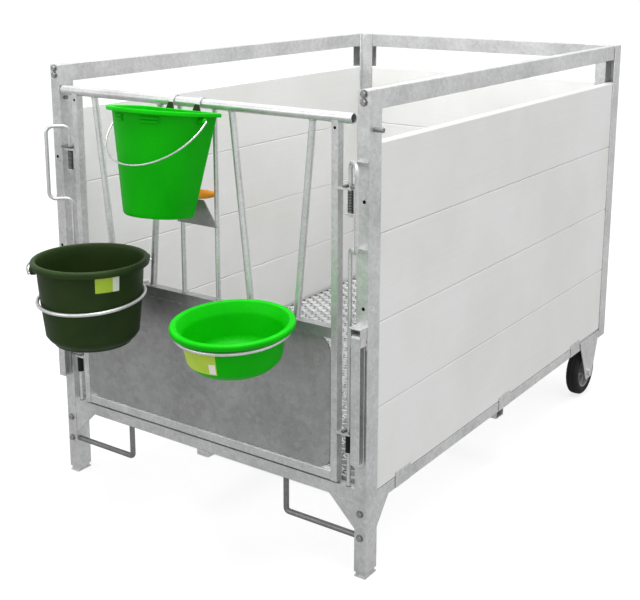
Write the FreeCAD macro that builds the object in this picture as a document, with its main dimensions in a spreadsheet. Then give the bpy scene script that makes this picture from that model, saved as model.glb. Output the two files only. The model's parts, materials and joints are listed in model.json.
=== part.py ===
"""Mobile calf hutch: a galvanised frame on two front legs and two rear wheels, plank walls,
a hinged front gate with two drop rods, and two feed bowls and a teat bucket hung on the gate.

Millimetres, +Z up. X runs across the front (right is positive), Y runs from front to rear.
Inside the expressions X is 0 in the middle of the front, Y is 0 on the front of the posts and
Z is 0 on the ground; shift_x and shift_y then put the origin under the middle of the whole.
"""
import FreeCAD, Part
import math
import os
import re
import Sketcher
from FreeCAD import Placement, Rotation, Vector

SIZES = {
    # whole hutch and its place in the part's frame
    "wide": 1120, "deep": 1690, "tall": 1294, "shift_x": -10, "shift_y": -672,
    # posts: folded channels that take the ends of planks and rails
    "post_wide": 36, "post_deep": 56, "post_wall": 3, "post_foot": 14, "corner_flange": 44,
    # planks and the rails above and below them, which fill the channels
    "plank_thick": 29, "plank_pitch": 232.4, "plank_base": 232, "plank_joint": 0.6, "slack": 0.5,
    "rail_high": 50, "base_rail_bottom": 198,
    # front sill, floor and bearers
    "sill_low": 217, "sill_high": 250, "sill_front": 2, "sill_deep": 40,
    "floor_thick": 12, "floor_side": 522, "floor_front": 28, "floor_pitch": 58, "floor_bar": 4,
    "bearer_half": 22, "cross_low": 172, "cross_front": 780, "cross_deep": 50,
    # legs, braces and gussets
    "foot_thick": 4, "brace_radius": 8, "brace_bend": 10, "brace_line": 14,
    "brace_low": 113, "brace_inner": 292, "gusset_reach": 83, "gusset_drop": 82,
    "gusset_thick": 5, "side_gusset_reach": 64, "side_gusset_drop": 80,
    # clips, coupling pins, stop straps and bolts
    "clip_thick": 3, "clip_low": 200, "clip_high": 246, "clip_long": 78,
    "pin_radius": 6, "pin_reach": 27, "pin_line": 20, "pin_level": 1198,
    "strap_half": 5, "bolt_radius": 8, "bolt_head": 6,
    # wheels
    "wheel_line": 1547, "wheel_radius": 90, "tyre_outer": 548, "tyre_wide": 45, "hub_radius": 61,
    "axle_radius": 10, "axle_fit": 0.1, "bracket_face": 557, "bracket_thick": 4,
    "bracket_front": 1449, "bracket_rear": 1633, "bracket_top": 228, "bracket_tip": 24,
    # gate
    "gate_line": 9, "tube_level": 1222, "tube_radius": 13.5, "tube_wall": 2.5,
    "tube_left": 516, "tube_right": 508, "upright_in": 450, "upright_out": 470, "gate_half": 12,
    "gate_bottom": 256, "gate_foot": 283, "panel_low": 650, "panel_high": 680, "panel_half": 14,
    "sheet_thick": 3, "sheet_corner": 40, "sheet_gap": 4, "head_bar": 9.5, "bucket_bar": 6.5,
    "rest_low": 887, "rest_high": 959, "rest_half": 73, "rest_slope": 48, "rest_middle": 3,
    # drop rods, their eyes, catches and springs
    "rod_line": 500, "rod_radius": 5.5, "rod_fit": 0.6, "rod_end": 251, "rod_top": 975,
    "grip_low": 896, "grip_high": 1115, "grip_reach": 68, "rod_bend": 20,
    "eye_thick": 5, "eye_half": 15, "eye_reach": 11, "eye_upper": 1045, "eye_lower": 396,
    "catch_reach": 16, "catch_slot": 14, "cross_pin": 3, "cross_pin_half": 15,
    "bush_radius": 9, "bush_long": 50, "spring_radius": 8,
    # fold-down lifting handles
    "arm_half": 13, "arm_front": -29, "arm_back": -4, "arm_low": 332,
    "arm_wall": 3, "pivot_level": 673, "pivot_line": -17, "pivot_radius": 6, "cheek": 2.5,
    "hood_high": 700,
    # bucket rings
    "ring_radius": 147.2, "ring_bar": 5, "ring_level": 690, "ring_droop": 5, "ring_rise": 12.8,
    "hook_half": 15, "hook_thick": 4,
    # feed bucket and feed bowl
    "bucket_x": -229, "bowl_x": 276, "round_y": -184, "shell": 3,
    "bucket_low": 560, "bucket_high": 799, "bucket_foot": 124, "bucket_mouth": 149,
    "bowl_low": 598, "bowl_high": 713, "bowl_foot": 117, "bowl_mouth": 135, "bowl_droop": 4,
    "lip_high": 9, "bucket_lip": 162, "bowl_lip": 160,
    "ear_level": 780, "ear_turn": 60, "bail_radius": 170, "bail_wire": 2.5,
    # teat bucket
    "milk_x": -33, "milk_back": -10, "milk_y": -82.5, "milk_low": 917.5, "milk_high": 1201.6,
    "milk_foot": 89, "milk_mouth": 133.5, "milk_lip": 148, "milk_heel": -24.8, "milk_ear": 1180,
    "milk_bail": 153, "milk_leg": 22, "milk_droop": 38, "milk_lean": 7.4,
    "teat_x": 36, "teat_level": 980, "teat_radius": 13, "teat_long": 90,
}

HEAD_BARS = ((-388, -327), (-128, -178), (124, 182), (387, 334))
BUCKET_BARS = (-58, 66)
CLIP_STARTS = (152, 784, 1365)
LEG_BOLTS = (116, 185)
MILK_HOOKS = (-74, 21)
SIDES = (("left", -1), ("right", 1))

doc = FreeCAD.newDocument("calf_hutch")
sheet = doc.addObject("Spreadsheet::Sheet", "sizes")
for row, (alias, value) in enumerate(SIZES.items(), 1):
    sheet.set(f"A{row}", alias)
    sheet.set(f"B{row}", str(value))
    sheet.setAlias(f"B{row}", alias)
doc.recompute()

TURN = {"x": Rotation(Vector(0, 1, 0), 90), "y": Rotation(Vector(1, 0, 0), -90), "z": Rotation()}
SHIFT = {"x": "shift_x", "y": "shift_y", "z": "0"}
nodes = []


def bound(text):
    """The expression with each alias written as the sheet's own cell."""
    return re.sub(r"[a-z_]+", lambda word: "sizes." + word[0] if word[0] in SIZES else word[0],
                  str(text))


def number(text):
    """The present value of an expression of sheet cells."""
    return float(sheet.evalExpression(bound(text)))


def place(piece, x, y, z, rotation=None):
    """Put a piece's origin at three expressions, moved into the part's frame."""
    if rotation is not None:
        piece.Placement = Placement(Vector(), rotation)
    for axis, text in zip("xyz", (x, y, z)):
        piece.setExpression("Placement.Base." + axis, bound(f"({text}) + {SHIFT[axis]}"))
    return piece


def box(name, x_span, y_span, z_span):
    """A block between two limits along each axis."""
    piece = doc.addObject("Part::Box", name)
    spans = (x_span, y_span, z_span)
    for side, (low, high) in zip(("Length", "Width", "Height"), spans):
        piece.setExpression(side, bound(f"({high}) - ({low})"))
    return place(piece, *(span[0] for span in spans))


def side_span(sign, inner, outer):
    """The X limits of a block that lies between two distances from the middle."""
    if sign > 0:
        return (f"{inner}", f"{outer}")
    return (f"-({outer})", f"-({inner})")


def rod(name, axis, radius, start, length):
    """A cylinder that runs from start along one axis."""
    piece = doc.addObject("Part::Cylinder", name)
    piece.setExpression("Radius", bound(radius))
    piece.setExpression("Height", bound(length))
    return place(piece, *start, TURN[axis])


def join(name, pieces):
    """One object of several pieces."""
    joined = doc.addObject("Part::MultiFuse", name)
    joined.Shapes = pieces
    return joined


def cut(name, base, tools):
    """A piece with others taken away from it."""
    result = doc.addObject("Part::Cut", name)
    result.Base = base
    result.Tool = tools[0] if len(tools) == 1 else join(name + "_tools", tools)
    return result


def hollow_bar(name, spans, along):
    """A rectangular tube: a block with its core taken out along one axis."""
    inner = []
    for axis, (low, high) in zip("xyz", spans):
        inset = "-1" if axis == along else "tube_wall"
        inner.append((f"{low} + ({inset})", f"{high} - ({inset})"))
    return cut(name, box(f"{name}_outside", *spans), [box(f"{name}_core", *inner)])


def keep(node, piece):
    """Mark an object as a finished sub-part with the name of its node."""
    piece.Label = node
    nodes.append((node, piece))
    return piece


def origin_plane(body, role):
    """One of a body's own origin planes."""
    return next(plane for plane in body.Origin.OriginFeatures if plane.Role == role)


def sketch_on(body, name, role, lift="0"):
    """A sketch on a body's own origin plane, moved along its normal by an expression."""
    sketch = body.newObject("Sketcher::SketchObject", name)
    sketch.AttachmentSupport = [(origin_plane(body, role), "")]
    sketch.MapMode = "FlatFace"
    sketch.setExpression("AttachmentOffset.Base.z", bound(lift))
    return sketch


def tie(sketch, index, point, across, up):
    """Hold one end of a line at two expressions measured from the sketch's origin."""
    for kind, axis, text in (("DistanceX", -2, across), ("DistanceY", -1, up)):
        if number(text) == 0:
            sketch.addConstraint(Sketcher.Constraint("PointOnObject", index, point, axis))
            continue
        spot = sketch.addConstraint(Sketcher.Constraint(kind, -1, 1, index, point, number(text)))
        sketch.setExpression(f"Constraints[{spot}]", bound(text))


def outline(sketch, corners):
    """A closed outline of straight lines whose corners are pairs of expressions."""
    spots = [Vector(number(across), number(up), 0) for across, up in corners]
    for index, spot in enumerate(spots):
        sketch.addGeometry(Part.LineSegment(spot, spots[(index + 1) % len(spots)]))
    for index, (across, up) in enumerate(corners):
        following = (index + 1) % len(corners)
        sketch.addConstraint(Sketcher.Constraint("Coincident", index, 2, following, 1))
        tie(sketch, index, 1, across, up)


def turned(name, corners, x, y, z):
    """A body turned about its own Z axis from an outline of radius and height."""
    body = doc.addObject("PartDesign::Body", name)
    sketch = sketch_on(body, name + "_outline", "XZ_Plane")
    outline(sketch, corners)
    turn = body.newObject("PartDesign::Revolution", name + "_turn")
    turn.Profile = sketch
    turn.ReferenceAxis = (sketch, ["V_Axis"])
    turn.Angle = 360
    return place(body, x, y, z)


def chain(sketch, closed=False):
    """Join each curve of a sketch to the next one where their ends meet."""
    count = sketch.GeometryCount
    for index in range(count if closed else count - 1):
        following = (index + 1) % count
        pairs = [(end, start) for end in (1, 2) for start in (1, 2)]
        end, start = min(pairs, key=lambda pair: (sketch.getPoint(index, pair[0])
                                                  - sketch.getPoint(following, pair[1])).Length)
        sketch.addConstraint(Sketcher.Constraint("Coincident", index, end, following, start))


def rounded_path(points, bend):
    """Straight runs joined by tangent arcs of one radius."""
    path = []
    begin = points[0]
    for before, corner, after in zip(points, points[1:], points[2:]):
        back = (before - corner).normalize()
        ahead = (after - corner).normalize()
        half = back.getAngle(ahead) / 2
        first = corner + back * (bend / math.tan(half))
        last = corner + ahead * (bend / math.tan(half))
        middle_way = (back + ahead).normalize()
        middle = corner + middle_way * (bend / math.sin(half) - bend)
        path += [Part.LineSegment(begin, first), Part.Arc(first, middle, last)]
        begin = last
    return path + [Part.LineSegment(begin, points[-1])]


def bent_bar(name, radius, bend, points, x, y, z, turn=0):
    """A round bar bent in an upright plane that is turned about Z.

    The points are pairs of expressions, along the plane and up; the first run is upright.
    """
    body = doc.addObject("PartDesign::Body", name)
    path = sketch_on(body, name + "_path", "XZ_Plane")
    spots = [Vector(number(across), number(up), 0) for across, up in points]
    for piece in rounded_path(spots, number(bend)):
        path.addGeometry(piece)
    chain(path)
    ring = sketch_on(body, name + "_section", "XY_Plane", points[0][1])
    ring.addGeometry(Part.Circle(Vector(spots[0].x, 0, 0), Vector(0, 0, 1), number(radius)))
    spot = ring.addConstraint(Sketcher.Constraint("Radius", 0, number(radius)))
    ring.setExpression(f"Constraints[{spot}]", bound(radius))
    pipe = body.newObject("PartDesign::AdditivePipe", name + "_sweep")
    pipe.Profile = ring
    pipe.Spine = path
    return place(body, x, y, z, Rotation(Vector(0, 0, 1), turn))


def plate(name, corners, thickness, x, y, z, plane="XZ_Plane"):
    """A flat plate padded from an outline."""
    body = doc.addObject("PartDesign::Body", name)
    sketch = sketch_on(body, name + "_outline", plane)
    outline(sketch, corners)
    pad = body.newObject("PartDesign::Pad", name + "_pad")
    pad.Profile = sketch
    pad.setExpression("Length", bound(thickness))
    return place(body, x, y, z)


# posts, rails and walls --------------------------------------------------------------------
CHANNEL_IN = "wide/2 - post_wide + post_wall"
CHANNEL_OUT = "wide/2 - post_wall"
PLANK_IN = "wide/2 - post_wide/2 - plank_thick/2"
PLANK_OUT = "wide/2 - post_wide/2 + plank_thick/2"
WALL_FRONT = "post_wall + slack"
WALL_REAR = "deep - post_wall - slack"
REAR_NEAR = "deep - post_wide/2 - plank_thick/2"
REAR_FAR = "deep - post_wide/2 + plank_thick/2"
REAR_SIDE = "wide/2 - post_wide - post_wall - slack"
RAIL_RISES = (("top_rail", ("tall - rail_high", "tall")),
              ("base_rail", ("base_rail_bottom", "plank_base - slack")))


def front_post(side, sign):
    """A channel open to the rear, so that planks and rails slide into it."""
    outer = box(f"post_{side}_outer", side_span(sign, "wide/2 - post_wide", "wide/2"),
                ("0", "post_deep"), ("post_foot", "tall"))
    hollow = box(f"post_{side}_hollow", side_span(sign, CHANNEL_IN, CHANNEL_OUT),
                 ("post_wall", "post_deep"), ("post_foot", "tall"))
    keep(f"post_front_{side}", cut(f"front_post_{side}", outer, [hollow]))


def rear_post(side, sign):
    """Two channels joined back to back: one takes the side wall, the other the rear wall."""
    rise = ("base_rail_bottom", "tall")
    along = box(f"corner_{side}_along", side_span(sign, "wide/2 - post_wide", "wide/2"),
                ("deep - post_deep", "deep"), rise)
    across = box(f"corner_{side}_across",
                 side_span(sign, "wide/2 - post_wide - corner_flange", "wide/2 - post_wide"),
                 ("deep - post_wide", "deep"), rise)
    hollow_along = box(f"corner_{side}_slot", side_span(sign, CHANNEL_IN, CHANNEL_OUT),
                       ("deep - post_deep", "deep - post_wall"), rise)
    hollow_across = box(
        f"corner_{side}_groove",
        side_span(sign, "wide/2 - post_wide - corner_flange", "wide/2 - post_wide - post_wall"),
        ("deep - post_wide + post_wall", "deep - post_wall"), rise)
    body = join(f"corner_{side}_body", [along, across])
    keep(f"post_rear_{side}", cut(f"rear_post_{side}", body, [hollow_along, hollow_across]))


def side_rails(side, sign):
    """The rail above and the rail below one side wall, both held in the post channels."""
    span = side_span(sign, PLANK_IN, PLANK_OUT)
    run = (WALL_FRONT, WALL_REAR)
    for node, rise in RAIL_RISES:
        keep(f"{node}_{side}", hollow_bar(f"{node}_{side}", (span, run, rise), "y"))


def rear_rails():
    """The rail above and the rail below the rear wall."""
    span = (f"-({REAR_SIDE})", REAR_SIDE)
    run = (REAR_NEAR, REAR_FAR)
    for node, rise in RAIL_RISES:
        keep(f"{node}_rear", hollow_bar(f"{node}_rear", (span, run, rise), "x"))


def plank_wall(node, span, run):
    """Four planks stacked edge to edge."""
    planks = []
    for tier in range(4):
        rise = (f"plank_base + {tier}*plank_pitch",
                f"plank_base + {tier + 1}*plank_pitch - plank_joint")
        planks.append(box(f"{node}_plank_{tier}", span, run, rise))
    keep(node, join(f"{node}_planks", planks))


def leg(side, sign):
    """The tube inside the foot of a front post, with its foot plate."""
    tube = box(f"leg_{side}_tube", side_span(sign, PLANK_IN, PLANK_OUT),
               ("post_wall + slack", "post_deep - post_wall - slack"),
               ("foot_thick", "base_rail_bottom - slack"))
    foot = box(f"leg_{side}_plate", side_span(sign, "wide/2 - post_wide", "wide/2"),
               ("0", "post_deep"), ("0", "foot_thick"))
    keep(f"leg_{side}", join(f"leg_{side}_joined", [tube, foot]))


# floor frame -------------------------------------------------------------------------------
def front_sill():
    """The bar under the gate, with a hole for the foot of each drop rod."""
    bar = box("sill_bar", ("post_wide - wide/2", "wide/2 - post_wide"),
              ("sill_front", "sill_front + sill_deep"), ("sill_low", "sill_high"))
    holes = [rod(f"sill_hole_{side}", "z", "rod_radius + 2*rod_fit",
                 (f"{sign}*rod_line", "gate_line", "sill_low - 1"), "sill_high - sill_low + 2")
             for side, sign in SIDES]
    keep("front_sill", cut("sill", bar, holes))


def bearers():
    """A lengthwise bearer under the floor, which shows below the sill, and a cross bearer."""
    main = box("bearer_main", ("-bearer_half", "bearer_half"),
               ("sill_front + sill_deep + slack", f"{REAR_NEAR} - slack"),
               ("base_rail_bottom", "sill_high - slack"))
    tail = box("bearer_tail", ("-bearer_half", "bearer_half"),
               ("sill_front", "sill_front + sill_deep + slack"),
               ("base_rail_bottom", "sill_low - slack"))
    keep("bearer_long", join("bearer_joined", [main, tail]))
    keep("bearer_cross", hollow_bar("cross", ((f"-({PLANK_OUT} - 4)", f"{PLANK_OUT} - 4"),
                                              ("cross_front", "cross_front + cross_deep"),
                                              ("cross_low", "base_rail_bottom - slack")), "x"))


def floor_grating():
    """The open floor: bars lengthwise and crosswise inside an edge frame."""
    top = "sill_high + floor_thick"
    rear = "deep - post_wide - slack"
    edge = box("floor_edge", ("-floor_side", "floor_side"), ("floor_front", rear),
               ("sill_high", top))
    hollow = box("floor_hollow", ("-floor_side + 2*floor_bar", "floor_side - 2*floor_bar"),
                 ("floor_front + 2*floor_bar", f"{rear} - 2*floor_bar"),
                 ("sill_high - 1", f"{top} + 1"))
    bars = [cut("floor_frame", edge, [hollow])]
    for index in range(-8, 9):
        middle = f"{index}*floor_pitch"
        bars.append(box(f"floor_bar_{index + 8}", (f"{middle} - floor_bar/2",
                                                   f"{middle} + floor_bar/2"),
                        ("floor_front + floor_bar", f"{rear} - floor_bar"), ("sill_high", top)))
    for index in range(1, 10):
        middle = f"floor_front + {index}*({rear} - floor_front)/10"
        bars.append(box(f"floor_tie_{index}", ("-floor_side + floor_bar", "floor_side - floor_bar"),
                        (f"{middle} - floor_bar/2", f"{middle} + floor_bar/2"),
                        ("sill_high", f"{top} - floor_bar")))
    keep("floor_grating", join("floor_joined", bars))


def brace(side, sign):
    """A bent bar from the foot of the leg in under the sill."""
    points = (("0", "sill_low"), ("0", "brace_low"),
              ("wide/2 - post_wide - brace_inner", "brace_low"))
    keep(f"brace_{side}",
         bent_bar(f"brace_{side}_bar", "brace_radius", "brace_bend", points,
                  f"{sign}*brace_inner", "brace_line", "0", 0 if sign > 0 else 180))


def gussets():
    """Triangular plates in the corners between each front post, the sill and the base rail."""
    plates = []
    for side, sign in SIDES:
        corner = (("0", "gusset_drop"), ("gusset_reach", "gusset_drop"), ("gusset_reach", "0"))
        if sign < 0:
            corner = (("0", "gusset_drop"), ("gusset_reach", "gusset_drop"), ("0", "0"))
        start = "wide/2 - post_wide - gusset_reach" if sign > 0 else "post_wide - wide/2"
        plates.append(plate(f"gusset_front_{side}", corner, "gusset_thick", start,
                            "sill_front + gusset_thick", "sill_low - gusset_drop"))
        plates.append(plate(f"gusset_side_{side}",
                            (("0", "0"), ("side_gusset_reach", "side_gusset_drop"),
                             ("0", "side_gusset_drop")),
                            "gusset_thick", f"{sign}*({PLANK_OUT} - 3) - gusset_thick/2",
                            "post_deep", "base_rail_bottom - side_gusset_drop", "YZ_Plane"))
    keep("gussets", join("gussets_joined", plates))


def plank_clips():
    """Plates that tie the lowest plank to the base rail."""
    clips = []
    for side, sign in SIDES:
        for index, start in enumerate(CLIP_STARTS):
            clips.append(box(f"clip_{side}_{index}",
                             side_span(sign, PLANK_OUT, f"{PLANK_OUT} + clip_thick"),
                             (f"{start}", f"{start} + clip_long"), ("clip_low", "clip_high")))
    keep("plank_clips", join("clips_joined", clips))


def coupling_pins():
    """The pin on the outside of the right post and its end inside the left one."""
    right = rod("pin_right", "x", "pin_radius", ("wide/2", "pin_line", "pin_level"), "pin_reach")
    left = rod("pin_left", "x", "pin_radius",
               ("post_wide - wide/2", "pin_line", "pin_level"), "2*pin_radius - 4")
    keep("coupling_pins", join("pins_joined", [right, left]))


def frame_bolts():
    """Hexagon bolt heads on the front of the posts, and the stop straps beside the grips."""
    heads = []
    for side, sign in SIDES:
        levels = [f"tall - {drop}" for drop in (9, 29)] + [f"{level}" for level in LEG_BOLTS]
        for index, level in enumerate(levels):
            head = doc.addObject("Part::Prism", f"bolt_{side}_{index}")
            head.Polygon = 6
            head.setExpression("Circumradius", bound("bolt_radius"))
            head.setExpression("Height", bound("bolt_head"))
            heads.append(place(head, f"{sign}*(wide/2 - post_wide/2)", "-bolt_head", level,
                               TURN["y"]))
        for index, level in enumerate(("grip_high", "grip_low")):
            heads.append(box(f"strap_{side}_{index}",
                             side_span(sign, "wide/2 - post_wide + 6", "wide/2 - 2"),
                             ("-cheek", "0"), (f"{level} - strap_half", f"{level} + strap_half")))
    keep("frame_bolts", join("bolts_joined", heads))


# wheels ------------------------------------------------------------------------------------
def wheel_bracket(side, sign):
    """A tapered plate below the base rail that carries the axle."""
    tip = "wheel_line - bracket_front"
    corners = (("0", "bracket_top - wheel_radius + bracket_tip"),
               (f"{tip} - bracket_tip", "0"), (f"{tip} + bracket_tip", "0"),
               ("bracket_rear - bracket_front", "bracket_top - wheel_radius + bracket_tip"))
    start = "bracket_face" if sign > 0 else "-bracket_face - bracket_thick"
    keep(f"wheel_bracket_{side}",
         plate(f"bracket_{side}", corners, "bracket_thick", start, "bracket_front",
               "wheel_radius - bracket_tip", "YZ_Plane"))


def axles():
    """A stub axle each side, with a spacer, an end washer and a nut outside the bracket."""
    steps = (("shaft", "axle_radius", "tyre_outer - tyre_wide - 6", "bracket_face"),
             ("washer", "axle_radius + 7", "tyre_outer - tyre_wide - 6",
              "tyre_outer - tyre_wide - 2"),
             ("spacer", "axle_radius + 5", "tyre_outer + 1", "bracket_face"),
             ("nut", "axle_radius + 5", "bracket_face + bracket_thick",
              "bracket_face + bracket_thick + bolt_head"))
    pieces = []
    for side, sign in SIDES:
        for name, radius, inner, outer in steps:
            start = side_span(sign, inner, outer)[0]
            pieces.append(rod(f"axle_{side}_{name}", "x", radius,
                              (start, "wheel_line", "wheel_radius"), f"({outer}) - ({inner})"))
    keep("axles", join("axles_joined", pieces))


def wheel(side, sign):
    """A solid tyre on a hub that turns on the stub axle."""
    start = side_span(sign, "tyre_outer - tyre_wide", "tyre_outer")[0]
    spot = (start, "wheel_line", "wheel_radius")
    disc = rod(f"tyre_{side}_disc", "x", "wheel_radius", spot, "tyre_wide")
    seat = rod(f"tyre_{side}_seat", "x", "hub_radius", spot, "tyre_wide")
    tyre = cut(f"tyre_{side}_ring", disc, [seat])
    rounded = doc.addObject("Part::Fillet", f"tyre_{side}_rounded")
    rounded.Base = tyre
    doc.recompute()
    rims = [(index, 8, 8) for index, edge in enumerate(tyre.Shape.Edges, 1)
            if abs(edge.Length - 2 * math.pi * number("wheel_radius")) < 1]
    rounded.Edges = rims
    keep(f"tyre_{side}", rounded)
    blank = rod(f"hub_{side}_blank", "x", "hub_radius", spot, "tyre_wide")
    bore = rod(f"hub_{side}_bore", "x", "axle_radius + axle_fit", spot, "tyre_wide")
    keep(f"hub_{side}", cut(f"hub_{side}_bored", blank, [bore]))


# gate --------------------------------------------------------------------------------------
GATE_RUN = ("gate_line - gate_half", "gate_line + gate_half")


def gate_frame():
    """The top tube, the two uprights, the panel rail and the bottom rail."""
    start = ("-tube_left", "gate_line", "tube_level")
    long = "tube_left + tube_right"
    outer = rod("gate_tube_outer", "x", "tube_radius", start, long)
    inner = rod("gate_tube_inner", "x", "tube_radius - tube_wall", start, long)
    keep("gate_top_tube", cut("gate_tube", outer, [inner]))
    for side, sign in SIDES:
        bar = box(f"upright_{side}_bar", side_span(sign, "upright_in", "upright_out"), GATE_RUN,
                  ("gate_bottom", "tube_level"))
        saddle = rod(f"upright_{side}_saddle", "x", "tube_radius", start, long)
        keep(f"gate_upright_{side}", cut(f"upright_{side}", bar, [saddle]))
    span = ("-upright_in", "upright_in")
    keep("gate_panel_rail",
         box("gate_panel_rail", span, ("gate_line - panel_half", "gate_line + panel_half"),
             ("panel_low", "panel_high")))
    keep("gate_bottom_rail", box("gate_bottom_rail", span, GATE_RUN, ("gate_bottom", "gate_foot")))


def gate_sheet():
    """The closed lower half of the gate: a sheet with rounded corners."""
    sheet_box = box("sheet_box", ("sheet_gap - upright_in", "upright_in - sheet_gap"),
                    ("gate_line - 9", "gate_line - 9 + sheet_thick"), ("gate_foot", "panel_low"))
    rounded = doc.addObject("Part::Fillet", "sheet_rounded")
    rounded.Base = sheet_box
    doc.recompute()
    corner = number("sheet_corner")
    rounded.Edges = [(index, corner, corner)
                     for index, edge in enumerate(sheet_box.Shape.Edges, 1)
                     if abs(edge.Length - number("sheet_thick")) < 0.1]
    keep("gate_sheet", rounded)


def slanted_bar(name, top_x, foot_x):
    """A round bar from the panel rail up to the top tube, cut to fit both."""
    top = Vector(top_x, 0, number("tube_level"))
    foot = Vector(foot_x, 0, number("panel_high"))
    lean = (top - foot).normalize()
    bar = doc.addObject("Part::Cylinder", name)
    bar.setExpression("Radius", bound("head_bar"))
    bar.Height = (top - foot).Length + 40
    start = foot - lean * 20
    return place(bar, f"{start.x}", "gate_line", f"{start.z}",
                 Rotation(Vector(0, 0, 1), lean))


def gate_bars():
    """Four slanted bars that leave two V-shaped head openings, and two bars for the bucket."""
    keep_zone = box("bar_zone", ("-upright_in", "upright_in"), GATE_RUN,
                    ("panel_high", "tube_level"))
    start = ("-tube_left", "gate_line", "tube_level")
    saddle = rod("bar_saddle", "x", "tube_radius", start, "tube_left + tube_right")
    zone = cut("bar_zone_cut", keep_zone, [saddle])
    bars = [slanted_bar(f"head_bar_{index}", top_x, foot_x)
            for index, (top_x, foot_x) in enumerate(HEAD_BARS)]
    trimmed = doc.addObject("Part::Common", "head_bars_trimmed")
    trimmed.Base = join("head_bars_joined", bars)
    trimmed.Tool = zone
    keep("gate_head_bars", trimmed)
    uprights = [rod(f"bucket_bar_{index}", "z", "bucket_bar", (f"{x}", "gate_line", "panel_high"),
                    "tube_level - tube_radius + 0.4 - panel_high")
                for index, x in enumerate(BUCKET_BARS)]
    again = rod("bucket_bar_saddle", "x", "tube_radius", start, "tube_left + tube_right")
    keep("gate_bucket_bars", cut("bucket_bars", join("bucket_bars_joined", uprights), [again]))
    corners = (("-rest_half", "0"), ("rest_half", "0"),
               ("rest_half - rest_slope", "rest_high - rest_low"),
               ("rest_slope - rest_half", "rest_high - rest_low"))
    keep("bucket_rest", plate("bucket_rest_plate", corners, "eye_thick", "rest_middle",
                              "gate_line - bucket_bar", "rest_low"))


def eye(name, sign, level, hole_radius):
    """A plate that sticks out of an upright and goes round a drop rod."""
    blank = box(f"{name}_blank", side_span(sign, "upright_out", "rod_line + eye_reach"),
                ("gate_line - eye_half", "gate_line + eye_half"), (level, f"{level} + eye_thick"))
    hole = rod(f"{name}_hole", "z", hole_radius, (f"{sign}*rod_line", "gate_line",
                                                  f"{level} - 1"), "eye_thick + 2")
    return cut(name, blank, [hole])


def gate_eyes():
    """Upper and lower eyes on both uprights, and a plastic guide bush under each lower one."""
    eyes = []
    bushes = []
    for side, sign in SIDES:
        for level in ("eye_upper", "eye_lower"):
            eyes.append(eye(f"{level}_{side}", sign, level, "rod_radius + rod_fit"))
        start = (f"{sign}*rod_line", "gate_line", "eye_lower - bush_long")
        outer = rod(f"bush_{side}_outer", "z", "bush_radius", start, "bush_long")
        inner = rod(f"bush_{side}_inner", "z", "rod_radius + rod_fit", start, "bush_long")
        bushes.append(cut(f"bush_{side}", outer, [inner]))
    keep("gate_eyes", join("eyes_joined", eyes))
    keep("guide_bushes", join("bushes_joined", bushes))


def rod_catches():
    """Post plates just above the gate eyes: closed on the hinge side, open forks on the other."""
    plates = []
    for side, sign in SIDES:
        for name, level in (("upper", "eye_upper + eye_thick + 1"),
                            ("lower", "eye_lower + eye_thick + 1")):
            blank = box(f"catch_{name}_{side}",
                        side_span(sign, "rod_line - catch_reach", "wide/2 - post_wide"),
                        ("gate_line - eye_half", "gate_line + eye_half + 4"),
                        (level, f"{level} + eye_thick"))
            tools = [rod(f"catch_{name}_{side}_hole", "z", "catch_slot/2",
                         (f"{sign}*rod_line", "gate_line", f"{level} - 1"), "eye_thick + 2")]
            if sign > 0:
                tools.append(box(f"catch_{name}_{side}_slot",
                                 ("rod_line - catch_slot/2", "rod_line + catch_slot/2"),
                                 ("gate_line - eye_half - 1", "gate_line"),
                                 (f"{level} - 1", f"{level} + eye_thick + 1")))
            plates.append(cut(f"catch_{name}_{side}_plate", blank, tools))
    keep("rod_catches", join("catches_joined", plates))


def drop_rod(side, sign):
    """One bar bent into a hand grip: its lower end drops into the sill, its upper end hangs down.

    The grip stands out forwards and outwards, so it can be lifted past the post.
    """
    points = (("0", "rod_top"), ("0", "grip_high"), ("grip_reach", "grip_high"),
              ("grip_reach", "grip_low"), ("0", "grip_low"), ("0", "rod_end"))
    lean = -44 if sign > 0 else -136
    bar = bent_bar(f"rod_{side}_bar", "rod_radius", "rod_bend", points, f"{sign}*rod_line",
                   "gate_line", "0", lean)
    pin = rod(f"rod_{side}_pin", "x", "cross_pin",
              (f"{sign}*rod_line - cross_pin_half", "gate_line", "rod_top + 2*cross_pin"),
              "2*cross_pin_half")
    keep(f"drop_rod_{side}", join(f"rod_{side}_joined", [bar, pin]))


def spring(side, sign):
    """The sleeve that a return spring fills, between the cross pin and the upper eye."""
    start = (f"{sign}*rod_line", "gate_line", "rod_top + 3*cross_pin")
    long = "eye_upper - rod_top - 3*cross_pin"
    outer = rod(f"spring_{side}_outer", "z", "spring_radius", start, long)
    inner = rod(f"spring_{side}_inner", "z", "rod_radius + rod_fit", start, long)
    keep(f"spring_{side}", cut(f"spring_{side}_sleeve", outer, [inner]))


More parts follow.
